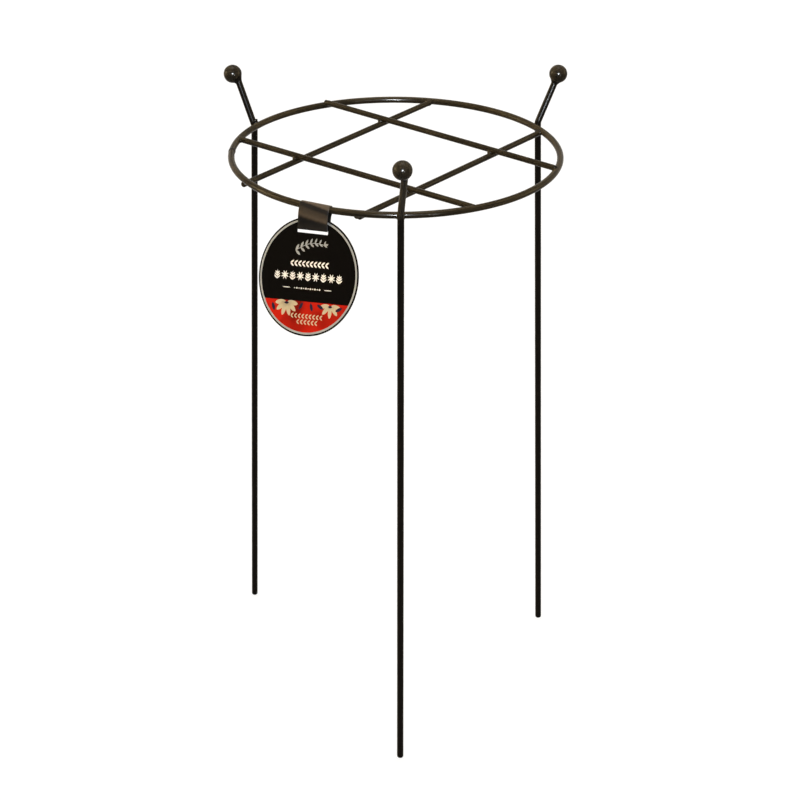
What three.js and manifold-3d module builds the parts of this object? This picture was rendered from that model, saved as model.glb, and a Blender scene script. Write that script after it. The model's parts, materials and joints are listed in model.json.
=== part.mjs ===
// Metal plant support: a round-bar ring with a grid of four wires inside it, carried on three
// straight legs whose bent arms end in balls. A round swing tag hangs on the ring by its strap.
// Millimetres, +Z up, feet on Z = 0, the front leg towards -Y, origin under the middle of the object.

import * as THREE from 'three';
import { mergeVertices } from 'three/addons/utils/BufferGeometryUtils.js';
import Module from 'manifold-3d';

const wasm = await Module();
wasm.setup();

const degree = Math.PI / 180;
const turn = 360 * degree;

// Gap left between two pieces that touch, so that each stays a solid of its own
const seat = 0.3;

// Ring: a round bar rolled to a circle and butt welded where its ends meet
const ringOutsideDiameter = 350;
const ringBarDiameter = 6.3;
const ringHeight = 610; // the bar's centreline above the ground
const seamAzimuth = 178.6 * degree;
const seamWidth = 1.8;
const seamThickness = 0.55;

// Grid: two upper wires lie across two lower wires. The lower wires pass under the ring at their
// front ends and meet it from inside at their back ends, so the grid leans by a degree.
const wireBarDiameter = 5.5;
const backDropShare = 0.2; // how far a lower wire's back end lies below the ring's centreline, in ring bars
const buttReachShare = 0.3; // how far short of the ring's centreline a butted wire ends, in ring bars

// heading: the wire's direction. offsetShare: its distance from the ring's axis, in ring radii.
// reachShare: how far its front end goes past the ring's centreline, in ring bars.
const upperWireShares = {
  front: { heading: -38.4 * degree, offsetShare: -0.418 },
  back: { heading: -39.9 * degree, offsetShare: 0.392 },
};
const lowerWireShares = {
  left: { heading: 51.4 * degree, offsetShare: 0.434, reachShare: 0.25 },
  right: { heading: 50.6 * degree, offsetShare: -0.436, reachShare: -0.9 },
};

// Legs: one bar each, welded to the outside of the ring and bent outwards just there
const legBarDiameter = 6.3;
const bendRadius = 10;
const armLength = 59; // from the bend to the middle of the ball
const armLean = 24 * degree; // from the vertical
const footRounding = 2.4;
const footTrim = 0.3; // what is cut off a leaning foot so that it stands flat

// azimuth: where the leg meets the ring. outShare and alongShare: how far its foot stands out from
// there and round the ring, in ring heights. bendShare: the bend's height over the ring's centreline,
// in leg bars. armShare and leanShare: this arm's length and lean, in common ones. armTurn: how far the
// arm turns off the radial plane. ballOutShare and ballAlongShare: how far the ball sits off the arm's
// axis, outwards and round the ring, in ball diameters.
const legShares = {
  left: {
    azimuth: 149.11 * degree, outShare: 0.0417, alongShare: -0.0186, bendShare: -0.425,
    armShare: 1.02, leanShare: 0.935, armTurn: 0, ballOutShare: 0.22, ballAlongShare: 0,
  },
  right: {
    azimuth: 30.58 * degree, outShare: 0.0042, alongShare: -0.0524, bendShare: 0.55,
    armShare: 0.946, leanShare: 1.093, armTurn: 0, ballOutShare: -0.014, ballAlongShare: 0,
  },
  front: {
    azimuth: -88.38 * degree, outShare: 0.0678, alongShare: 0.0017, bendShare: 0.61,
    armShare: 1.004, leanShare: 1, armTurn: 8.4 * degree, ballOutShare: -0.012, ballAlongShare: -0.153,
  },
};

// Balls: solid, each welded on its arm's end with a flared collar of weld
const ballDiameter = 19;
const armReachShare = 0.3; // how far below the ball's middle the arm's end is coped from, in ball radii
const neckLength = 3.4; // from the ball's lowest point down to the collar's thin end
const neckWallShare = 0.07; // of the bar, at the collar's thin end
const neckFlareShare = 0.76; // the collar's radius at the ball, in bar diameters

// Weld beads: half sizes along, across and up, in diameters of the bar that the bead sits on
const buttBeadShares = { along: 0.7, across: 0.7, up: 0.66 };
const crossBeadShares = { along: 0.62, across: 0.68, up: 0.6 };
const legBeadShares = { along: 0.58, across: 0.9, up: 0.58 };
const beadAsideShare = 0.75; // how far to one side of a crossing its bead sits, in bar diameters
const beadSide = 186 * degree; // the side of each wire crossing that is welded
const legBeadRiseShare = 0.1; // how far over the ring's centreline a leg's bead sits, in bar diameters

// Swing tag: one card, a disc with a strap that loops over the ring and goes back through a slot
const tagAzimuth = -117.2 * degree;
const discDiameter = 118;
const cardThickness = 0.8;
const strapThicknessShare = 0.85; // of the card's, so that the strap's root lies inside the disc
const strapRootWidth = 36.2; // where the strap leaves the disc
const strapLoopWidth = 33; // over the ring
const strapEndWidth = 35.6; // where it goes back through the slot
const discDrop = 9.3; // from the middle of the loop down to the disc's top edge
const discSetback = 2.2; // the disc's plane lies this far behind the middle of the loop
const discAside = -1.8; // and its upright axis this far round the ring from there
const rootAside = 1.1; // how far round the ring the strap's root lies off that axis
const loopClearance = 0.36; // least gap between the strap's loop and the ring, however the tag swings
const slotHeight = 3.9;
const slotInset = 14.4; // from the disc's top edge down to the slot's middle
const slotClearance = 0.35; // between the strap and the slot's upper edge, and the disc's face
const slotSideClearance = 0.45; // between the strap and each end of the slot
const tuckRadius = 1;
const tuckLength = 2.2; // how far the strap's end stands out behind the disc
const rootOverlap = 7; // the part of the strap that lies in the disc

// How the tag hangs: its foot stands out, it is turned about the vertical, and rolled in its own plane
const tagLean = 21.7 * degree;
const tagTwist = -6.9 * degree;
const tagRoll = 7.3 * degree;

// Facets
const barSides = 12;
const ringSteps = 120;
const bendSteps = 4;
const roundingSteps = 4;
const ballSides = 24;
const ballSteps = 14;
const beadSides = 12;
const beadSteps = 8;
const neckSteps = 4;
const discSteps = 96;
const loopSteps = 10;
const strapSteps = 5;
const tuckSteps = 3;

// Sizes that follow from the ones above
const ringRadius = (ringOutsideDiameter - ringBarDiameter) / 2;
const ringBarRadius = ringBarDiameter / 2;
const wireBarRadius = wireBarDiameter / 2;
const legBarRadius = legBarDiameter / 2;
const ballRadius = ballDiameter / 2;
const discRadius = discDiameter / 2;
const hangLength = discDrop + discRadius; // from the middle of the loop down to the disc's centre
const slotRise = discRadius - slotInset; // the slot's middle above the disc's centre
const slotWidth = strapEndWidth + 2 * slotSideClearance;
const legPitchRadius = ringRadius + ringBarRadius + seat + legBarRadius;
const loopSagitta = ringRadius - Math.sqrt(ringRadius ** 2 - (strapLoopWidth / 2) ** 2);
const hangRadius = ringRadius - loopSagitta / 2; // the mean of the bar's arc under the strap

// Finishes
const barCoat = new THREE.MeshStandardMaterial({ color: 0x2b241c, roughness: 0.42, metalness: 0.35 });
const weldCoat = new THREE.MeshStandardMaterial({ color: 0x241e18, roughness: 0.3, metalness: 0.4 });
const printedCard = new THREE.MeshStandardMaterial({ color: 0x14110f, roughness: 0.35, metalness: 0 });

const up = new THREE.Vector3(0, 0, 1);

function polar(radius, azimuth, height) {
  return new THREE.Vector3(radius * Math.cos(azimuth), radius * Math.sin(azimuth), height);
}

// Turns a closed geometry into a solid: its shared vertices are merged and flat triangles dropped
function toSolid(geometry) {
  const bare = new THREE.BufferGeometry();
  bare.setAttribute('position', geometry.getAttribute('position').clone());
  if (geometry.index) bare.setIndex(geometry.index.clone());
  const merged = mergeVertices(bare);
  const corners = merged.index.array;
  const kept = [];
  for (let i = 0; i < corners.length; i += 3) {
    const [a, b, c] = [corners[i], corners[i + 1], corners[i + 2]];
    if (a !== b && b !== c && c !== a) kept.push(a, b, c);
  }
  return new wasm.Manifold(new wasm.Mesh({
    numProp: 3,
    vertProperties: new Float32Array(merged.getAttribute('position').array),
    triVerts: new Uint32Array(kept),
  }));
}

function toGeometry(solid) {
  const mesh = solid.getMesh();
  const geometry = new THREE.BufferGeometry();
  geometry.setAttribute('position', new THREE.BufferAttribute(new Float32Array(mesh.vertProperties), 3));
  geometry.setIndex(new THREE.BufferAttribute(new Uint32Array(mesh.triVerts), 1));
  geometry.computeVertexNormals();
  return geometry;
}

function cut(geometry, cutters) {
  return toGeometry(cutters.reduce((left, cutter) => left.subtract(cutter), toSolid(geometry)));
}

function piece(name, geometry, material) {
  const mesh = new THREE.Mesh(geometry, material);
  mesh.name = name;
  return mesh;
}

// Joins closed outlines of equally many points, each the next section of one skin, and closes both ends
function loft(sections) {
  const count = sections[0].length;
  const points = sections.flat();
  const faces = [];
  for (let s = 0; s + 1 < sections.length; s++) {
    for (let i = 0; i < count; i++) {
      const a = s * count + i;
      const b = s * count + ((i + 1) % count);
      faces.push(a, b, b + count, a, b + count, a + count);
    }
  }
  for (let i = 1; i + 1 < count; i++) {
    const last = (sections.length - 1) * count;
    faces.push(0, i + 1, i, last, last + i, last + i + 1);
  }
  return new THREE.BufferGeometry().setFromPoints(points).setIndex(faces);
}

// A round bar through stations { at, along, radius }. side is square to the bar all the way.
function roundBar(stations, side) {
  return loft(stations.map(({ at, along, radius }) => {
    const other = new THREE.Vector3().crossVectors(along, side).normalize();
    return Array.from({ length: barSides }, (_, i) => {
      const angle = (turn * i) / barSides;
      return at.clone()
        .addScaledVector(side, radius * Math.cos(angle))
        .addScaledVector(other, radius * Math.sin(angle));
    });
  }));
}

function straightBar(start, end, radius) {
  const along = new THREE.Vector3().subVectors(end, start).normalize();
  const side = new THREE.Vector3().crossVectors(up, along).normalize();
  return roundBar([{ at: start, along, radius }, { at: end, along, radius }], side);
}

// Turns a lathed piece, made round +Y, so that its axis points along direction at a place
function aim(geometry, direction, at) {
  const turned = new THREE.Quaternion().setFromUnitVectors(new THREE.Vector3(0, 1, 0), direction);
  return geometry.applyQuaternion(turned).translate(at.x, at.y, at.z);
}

// The ring's bar, swollen by grow where it is used to cut its neighbours
function ringBar(grow = 0) {
  const torus = new THREE.TorusGeometry(ringRadius, ringBarRadius + grow, barSides, ringSteps);
  return torus.translate(0, 0, ringHeight);
}

const ringCutter = toSolid(ringBar(seat));

// The raised bead left round the bar by the ring's butt weld
function seamWeld() {
  const inner = ringBarRadius + seat;
  const outer = inner + seamThickness;
  const half = seamWidth / 2;
  const crown = half / 2;
  const profile = [
    [inner, half], [inner, -half], [outer, -crown], [outer, crown], [inner, half],
  ].map(([x, y]) => new THREE.Vector2(x, y));
  const tangent = polar(1, seamAzimuth + turn / 4, 0);
  const at = polar(ringRadius, seamAzimuth, ringHeight);
  return aim(new THREE.LatheGeometry(profile, beadSides), tangent, at);
}

// The lower wires' layer is a plane: it clears the ring at the front and drops by backDrop at the back
const lowerHeading = (lowerWireShares.left.heading + lowerWireShares.right.heading) / 2;
const lowerOffsetShare = (lowerWireShares.left.offsetShare - lowerWireShares.right.offsetShare) / 2;
const halfChord = ringRadius * Math.sqrt(1 - lowerOffsetShare ** 2);
const frontDrop = ringBarRadius + wireBarRadius + seat;
const backDrop = backDropShare * ringBarDiameter;
const layerPitch = wireBarDiameter + seat;

function layerHeight(x, y, raise) {
  const along = x * Math.cos(lowerHeading) + y * Math.sin(lowerHeading);
  const rise = (frontDrop - backDrop) / (2 * halfChord);
  return ringHeight - (frontDrop + backDrop) / 2 + rise * along + raise;
}

// A wire across the ring: where its axis stands over the ring's centreline, short of it or past it
function wireLine({ heading, offsetShare }, raise, startReach, endReach) {
  const offset = offsetShare * ringRadius;
  const half = Math.sqrt(ringRadius ** 2 - offset ** 2);
  const place = (along) => {
    const x = along * Math.cos(heading) - offset * Math.sin(heading);
    const y = along * Math.sin(heading) + offset * Math.cos(heading);
    return new THREE.Vector3(x, y, layerHeight(x, y, raise));
  };
  return {
    heading,
    offset,
    start: place(-half - startReach),
    end: place(half + endReach),
    startAtRing: place(-half),
    endAtRing: place(half),
  };
}

const buttReach = -buttReachShare * ringBarDiameter;
const upperLines = {};
for (const [side, shares] of Object.entries(upperWireShares)) {
  upperLines[side] = wireLine(shares, layerPitch, buttReach, buttReach);
}
const lowerLines = {};
for (const [side, shares] of Object.entries(lowerWireShares)) {
  lowerLines[side] = wireLine(shares, 0, shares.reachShare * ringBarDiameter, buttReach);
}

// A wire swollen by grow and run on by one diameter each way, where it is used to cut its neighbours
function wireCutter(line) {
  const over = new THREE.Vector3().subVectors(line.end, line.start).setLength(wireBarDiameter);
  const start = line.start.clone().sub(over);
  return toSolid(straightBar(start, line.end.clone().add(over), wireBarRadius + seat));
}

function wire(line) {
  return cut(straightBar(line.start, line.end, wireBarRadius), [ringCutter]);
}

// A weld bead: a rounded lump, cut back from the bars that it joins
function bead(at, heading, shares, diameter, cutters) {
  const lump = new THREE.SphereGeometry(1, beadSides, beadSteps);
  lump.rotateX(turn / 4);
  lump.scale(shares.along * diameter, shares.across * diameter, shares.up * diameter);
  lump.rotateZ(heading);
  lump.translate(at.x, at.y, at.z);
  return cut(lump, cutters);
}

// The collar of weld round a wire's end where it butts on the inside of the ring
function buttWeld(line, atRing) {
  const inward = new THREE.Vector3(-atRing.x, -atRing.y, 0).normalize();
  const wireWay = polar(1, line.heading, 0);
  if (wireWay.dot(inward) < 0) wireWay.negate();
  const at = atRing.clone().addScaledVector(wireWay, (ringBarRadius + seat) / wireWay.dot(inward));
  return bead(at, line.heading, buttBeadShares, wireBarDiameter, [ringCutter, wireCutter(line)]);
}

// The bead in the corner where a lower wire passes under the ring, on the ring's inner side
function underWeld(line) {
  const way = polar(1, line.heading, 0);
  const at = line.startAtRing.clone().addScaledVector(way, beadAsideShare * ringBarDiameter);
  at.z += wireBarRadius;
  return bead(at, line.heading, crossBeadShares, wireBarDiameter, [ringCutter, wireCutter(line)]);
}

// The bead beside a crossing of two wires, level with the place where they touch
function crossWeld(upper, lower) {
  const [a, b] = [upper, lower].map(({ heading, offset }) => [-Math.sin(heading), Math.cos(heading), offset]);
  const spread = a[0] * b[1] - a[1] * b[0];
  const x = (a[2] * b[1] - a[1] * b[2]) / spread;
  const y = (a[0] * b[2] - a[2] * b[0]) / spread;
  const at = new THREE.Vector3(x, y, layerHeight(x, y, layerPitch / 2));
  at.addScaledVector(polar(1, beadSide, 0), beadAsideShare * wireBarDiameter);
  const cutters = [upper, lower].map(wireCutter);
  return bead(at, beadSide, crossBeadShares, wireBarDiameter, cutters);
}

// Where a leg's straight bar and its arm run
function legLine(shares) {
  const { azimuth } = shares;
  const out = polar(1, azimuth, 0);
  const round = polar(1, azimuth + turn / 4, 0);
  const atRing = polar(legPitchRadius, azimuth, ringHeight);
  const foot = polar(legPitchRadius, azimuth, 0)
    .addScaledVector(out, shares.outShare * ringHeight)
    .addScaledVector(round, shares.alongShare * ringHeight);
  const legWay = new THREE.Vector3().subVectors(atRing, foot).normalize();
  const bend = atRing.clone().addScaledVector(legWay, (shares.bendShare * legBarDiameter) / legWay.z);
  const lean = shares.leanShare * armLean;
  const armOut = polar(1, azimuth + shares.armTurn, 0);
  const armRound = polar(1, azimuth + shares.armTurn + turn / 4, 0);
  const armWay = armOut.clone().multiplyScalar(Math.sin(lean)).addScaledVector(up, Math.cos(lean));
  const armSide = armOut.clone().multiplyScalar(Math.cos(lean)).addScaledVector(up, -Math.sin(lean));
  const armEnd = bend.clone().addScaledVector(armWay, shares.armShare * armLength);
  const ball = armEnd.clone()
    .addScaledVector(armSide, shares.ballOutShare * ballDiameter)
    .addScaledVector(armRound, shares.ballAlongShare * ballDiameter);
  return { azimuth, foot, legWay, bend, armWay, armEnd, ball };
}

// The bar from its foot to an end inside the ball, swollen by grow where it is used as a cutter
function legBar(line, grow = 0) {
  const { foot, legWay, bend, armWay, armEnd } = line;
  const radius = legBarRadius + grow;
  const side = new THREE.Vector3().crossVectors(legWay, armWay).normalize();
  const bendAngle = legWay.angleTo(armWay);
  const bendTangent = bendRadius * Math.tan(bendAngle / 2);
  const tip = foot.clone().addScaledVector(legWay, -footTrim);
  const stations = [];
  for (let i = 0; i <= roundingSteps; i++) {
    const angle = ((turn / 4) * i) / roundingSteps;
    const at = tip.clone().addScaledVector(legWay, footRounding * (1 - Math.cos(angle)));
    stations.push({ at, along: legWay, radius: radius - footRounding * (1 - Math.sin(angle)) });
  }
  const arcStart = bend.clone().addScaledVector(legWay, -bendTangent);
  const inward = new THREE.Vector3().crossVectors(side, legWay);
  for (let i = 0; i <= bendSteps; i++) {
    const angle = (bendAngle * i) / bendSteps;
    const at = arcStart.clone()
      .addScaledVector(legWay, bendRadius * Math.sin(angle))
      .addScaledVector(inward, bendRadius * (1 - Math.cos(angle)));
    const along = legWay.clone().multiplyScalar(Math.cos(angle)).addScaledVector(inward, Math.sin(angle));
    stations.push({ at, along, radius });
  }
  const end = armEnd.clone().addScaledVector(armWay, -armReachShare * ballRadius);
  stations.push({ at: end, along: armWay, radius });
  return roundBar(stations, side);
}

// Everything below the ground, which trims a foot to a flat
function groundCutter(foot) {
  const block = new THREE.BoxGeometry(legBarDiameter * 2, legBarDiameter * 2, legBarDiameter);
  return toSolid(block.translate(foot.x, foot.y, -legBarDiameter / 2));
}

// A ball, swollen by grow where it is used to cut its neighbours
function ball(line, grow = 0) {
  const sphere = new THREE.SphereGeometry(ballRadius + grow, ballSides, ballSteps);
  return sphere.rotateX(turn / 4).translate(line.ball.x, line.ball.y, line.ball.z);
}

// The finished bar: flat at its foot, and coped to the ball at its other end
function leg(line) {
  return cut(legBar(line), [groundCutter(line.foot), toSolid(ball(line, seat))]);
}

// The flared collar of weld between arm and ball
function neckWeld(line) {
  const thin = legBarRadius + seat + neckWallShare * legBarDiameter;
  const wide = neckFlareShare * legBarDiameter;
  const low = -(ballRadius + neckLength);
  const high = -armReachShare * ballRadius;
  const mouth = -Math.sqrt(ballRadius ** 2 - wide ** 2);
  const profile = [new THREE.Vector2(0, low)];
  for (let i = 0; i <= neckSteps; i++) {
    const angle = ((turn / 4) * i) / neckSteps;
    const x = thin + (wide - thin) * (1 - Math.cos(angle));
    profile.push(new THREE.Vector2(x, low + (mouth - low) * Math.sin(angle)));
  }
  profile.push(new THREE.Vector2(wide, high), new THREE.Vector2(0, high));
  const flare = aim(new THREE.LatheGeometry(profile, ballSides), line.armWay, line.armEnd);
  return cut(flare, [toSolid(ball(line, seat)), toSolid(legBar(line, seat))]);
}

// The bead in the corner between ring and leg, all round the place where they touch
function legWeld(line) {
  const level = ringHeight + legBeadRiseShare * legBarDiameter;
  const at = polar(ringRadius + ringBarRadius + seat / 2, line.azimuth, level);
  return bead(at, line.azimuth, legBeadShares, legBarDiameter, [ringCutter, toSolid(legBar(line, seat))]);
}

// The tag is drawn round the middle of its loop, which it swings about: +X along the ring, +Y inwards.
// The loop only leans with the tag, and the disc is also turned and rolled; between them the strap twists.
const loopFrame = new THREE.Quaternion().setFromEuler(new THREE.Euler(-tagLean, 0, 0, 'ZXY'));
const discFrame = new THREE.Quaternion().setFromEuler(new THREE.Euler(-tagLean, -tagRoll, tagTwist, 'ZXY'));

// A point of the strap. front, above and aside: the place's distance in front of the middle of the
// loop, above it and round the ring from it. twist: from 0 at the loop to 1 at the disc.
function strapPoint({ front, above, aside, twist }, across) {
  const frame = loopFrame.clone().slerp(discFrame, twist);
  return new THREE.Vector3(aside + across, -front, above).applyQuaternion(frame);
}

// A ribbon of even thickness along a path of strap places
function ribbon(path, thickness) {
  return loft(path.map((place, i) => {
    const before = path[Math.max(i - 1, 0)];
    const after = path[Math.min(i + 1, path.length - 1)];
    const run = new THREE.Vector2(after.front - before.front, after.above - before.above).normalize();
    const corner = (across, off) => strapPoint({
      ...place,
      front: place.front - run.y * off,
      above: place.above + run.x * off,
    }, across);
    const half = place.width / 2;
    return [
      corner(-half, -thickness / 2), corner(half, -thickness / 2),
      corner(half, thickness / 2), corner(-half, thickness / 2),
    ];
  }));
}

// Places on a smooth bend between two places, leaving and arriving along the disc's plane
function sway(from, to, steps) {
  return Array.from({ length: steps - 1 }, (_, i) => {
    const share = (i + 1) / steps;
    const ease = share * share * (3 - 2 * share);
    return {
      front: from.front + (to.front - from.front) * ease,
      above: from.above + (to.above - from.above) * share,
      aside: from.aside + (to.aside - from.aside) * ease,
      twist: from.twist + (to.twist - from.twist) * ease,
      width: from.width + (to.width - from.width) * share,
    };
  });
}

function strap() {
  const thickness = strapThicknessShare * cardThickness;
  const loopRadius = ringBarRadius + loopSagitta / 2 + loopClearance + thickness / 2;
  const discTop = discRadius - hangLength;
  const neck = {
    front: -discSetback,
    above: discTop,
    aside: discAside + rootAside,
    twist: 1,
    width: strapRootWidth,
  };
  const root = { ...neck, above: discTop - rootOverlap };
  const loop = Array.from({ length: loopSteps + 1 }, (_, i) => {
    const angle = (turn / 2) * (1 - i / loopSteps);
    return {
      front: loopRadius * Math.cos(angle),
      above: loopRadius * Math.sin(angle),
      aside: 0,
      twist: 0,
      width: strapLoopWidth,
    };
  });
  const slotTop = slotRise + slotHeight / 2;
  const tuckLevel = slotTop - slotClearance - thickness / 2 - hangLength;
  const face = cardThickness / 2 + slotClearance + thickness / 2 - discSetback;
  const tuck = Array.from({ length: tuckSteps + 1 }, (_, i) => {
    const angle = ((turn / 4) * i) / tuckSteps;
    return {
      front: face - tuckRadius * (1 - Math.cos(angle)),
      above: tuckLevel + tuckRadius * (1 - Math.sin(angle)),
      aside: discAside,
      twist: 1,
      width: strapEndWidth,
    };
  });
  const end = { ...tuck[tuckSteps], front: -discSetback - cardThickness / 2 - tuckLength };
  return ribbon([
    root, neck, ...sway(neck, loop[0], strapSteps), ...loop,
    ...sway(loop[loopSteps], tuck[0], strapSteps), ...tuck, end,
  ], thickness);
}

function disc() {
  const outline = new THREE.Shape().absarc(0, 0, discRadius, 0, turn);
  const side = slotWidth / 2;
  const low = slotRise - slotHeight / 2;
  const high = slotRise + slotHeight / 2;
  const corners = [[-side, low], [-side, high], [side, high], [side, low]];
  outline.holes.push(new THREE.Path(corners.map(([x, y]) => new THREE.Vector2(x, y))));
  const plate = new THREE.ExtrudeGeometry(outline, {
    depth: cardThickness,
    bevelEnabled: false,
    curveSegments: discSteps,
  });
  plate.translate(0, 0, -cardThickness / 2).rotateX(turn / 4);
  plate.translate(discAside, discSetback, -hangLength);
  return plate.applyQuaternion(discFrame);
}

function swingTag() {
  return toGeometry(toSolid(disc()).add(toSolid(strap())));
}

// The whole object, drawn round the ring's axis and then set on the middle of its own box
const ringAndGrid = new THREE.Group();
ringAndGrid.add(piece('ring', ringBar(), barCoat), piece('ring_seam_weld', seamWeld(), weldCoat));
for (const [side, line] of Object.entries(upperLines)) {
  ringAndGrid.add(piece(`wire_upper_${side}`, wire(line), barCoat));
  ringAndGrid.add(piece(`end_weld_upper_${side}_left`, buttWeld(line, line.startAtRing), weldCoat));
  ringAndGrid.add(piece(`end_weld_upper_${side}_right`, buttWeld(line, line.endAtRing), weldCoat));
}
for (const [side, line] of Object.entries(lowerLines)) {
  ringAndGrid.add(piece(`wire_lower_${side}`, wire(line), barCoat));
  ringAndGrid.add(piece(`end_weld_lower_${side}_front`, underWeld(line), weldCoat));
  ringAndGrid.add(piece(`end_weld_lower_${side}_back`, buttWeld(line, line.endAtRing), weldCoat));
  for (const [upperSide, upper] of Object.entries(upperLines)) {
    ringAndGrid.add(piece(`crossing_weld_${upperSide}_${side}`, crossWeld(upper, line), weldCoat));
  }
}

const legs = new THREE.Group();
for (const [side, shares] of Object.entries(legShares)) {
  const line = legLine(shares);
  legs.add(
    piece(`leg_${side}`, leg(line), barCoat),
    piece(`ball_${side}`, ball(line), barCoat),
    piece(`neck_weld_${side}`, neckWeld(line), weldCoat),
    piece(`leg_weld_${side}`, legWeld(line), weldCoat),
  );
}

const tag = new THREE.Group();
tag.add(piece('swing_tag', swingTag(), printedCard));
tag.position.copy(polar(hangRadius, tagAzimuth, ringHeight));
tag.rotation.z = tagAzimuth + turn / 4;

const plantSupport = new THREE.Group();
plantSupport.add(ringAndGrid, legs, tag);
plantSupport.updateMatrixWorld(true);
const middle = new THREE.Box3().setFromObject(plantSupport, true).getCenter(new THREE.Vector3());
plantSupport.position.set(-middle.x, -middle.y, 0);

export default plantSupport;
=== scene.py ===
# The looks of a metal plant support: coated bars, balls, weld beads and a printed swing tag.
# All is in metres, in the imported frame, and each piece takes its place from the node that it stands for.

import json
import math

import bmesh
import bpy
import numpy as np
from bpy.props import FloatProperty, FloatVectorProperty, IntProperty, PointerProperty
from mathutils import Matrix, Vector
from mathutils.geometry import intersect_line_line


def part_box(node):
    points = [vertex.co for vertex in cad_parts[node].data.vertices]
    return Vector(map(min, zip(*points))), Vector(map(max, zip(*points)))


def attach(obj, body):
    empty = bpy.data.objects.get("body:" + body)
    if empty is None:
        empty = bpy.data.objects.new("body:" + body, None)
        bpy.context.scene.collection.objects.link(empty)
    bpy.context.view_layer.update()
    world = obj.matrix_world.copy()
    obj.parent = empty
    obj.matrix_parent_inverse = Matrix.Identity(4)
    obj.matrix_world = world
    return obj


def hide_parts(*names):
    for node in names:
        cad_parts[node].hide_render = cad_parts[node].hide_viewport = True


bl_info = {
    "name": "Metal plant support",
    "version": (1, 0, 0),
    "blender": (4, 5, 0),
    "location": "3D View > Sidebar > Plant Support",
    "description": "Coated bars, balls, weld beads and a printed swing tag round a packed frame",
    "category": "Object",
}

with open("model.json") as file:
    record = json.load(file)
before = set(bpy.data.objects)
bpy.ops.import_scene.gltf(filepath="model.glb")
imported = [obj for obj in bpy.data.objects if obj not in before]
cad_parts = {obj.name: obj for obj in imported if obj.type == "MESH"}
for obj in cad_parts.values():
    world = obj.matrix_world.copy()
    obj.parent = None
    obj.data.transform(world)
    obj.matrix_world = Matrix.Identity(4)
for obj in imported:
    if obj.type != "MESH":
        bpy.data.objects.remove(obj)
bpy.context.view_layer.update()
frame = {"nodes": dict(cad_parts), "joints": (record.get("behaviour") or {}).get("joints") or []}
nodes = frame["nodes"]
swing = frame["joints"][0]

mm = 0.001
turn = 2 * math.pi
up = Vector((0, 0, 1))

support_body = "support"
tag_body = "tag"
bar_slot = "bar_coat"
weld_slot = "weld_coat"
card_slot = "tag_card"
upper_wires = ("upper_front", "upper_back")
lower_wires = ("lower_left", "lower_right")
leg_sides = ("left", "right", "front")


# Node trees, for surfaces and for geometry


class Link:
    """An output of a node. Sums, products and powers of links add Math nodes."""

    def __init__(self, tree, socket):
        self.tree = tree
        self.socket = socket

    def maths(self, operation, *values):
        """A Math node's result, from links and numbers."""
        return self.tree.node("ShaderNodeMath", {"operation": operation}, dict(enumerate(values)))

    def __add__(self, other):
        return self.maths("ADD", self, other)

    __radd__ = __add__

    def __sub__(self, other):
        return self.maths("SUBTRACT", self, other)

    def __rsub__(self, other):
        return self.maths("SUBTRACT", other, self)

    def __mul__(self, other):
        return self.maths("MULTIPLY", self, other)

    __rmul__ = __mul__

    def __truediv__(self, other):
        return self.maths("DIVIDE", self, other)

    def __rtruediv__(self, other):
        return self.maths("DIVIDE", other, self)

    def __pow__(self, other):
        return self.maths("POWER", self, other)


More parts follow.
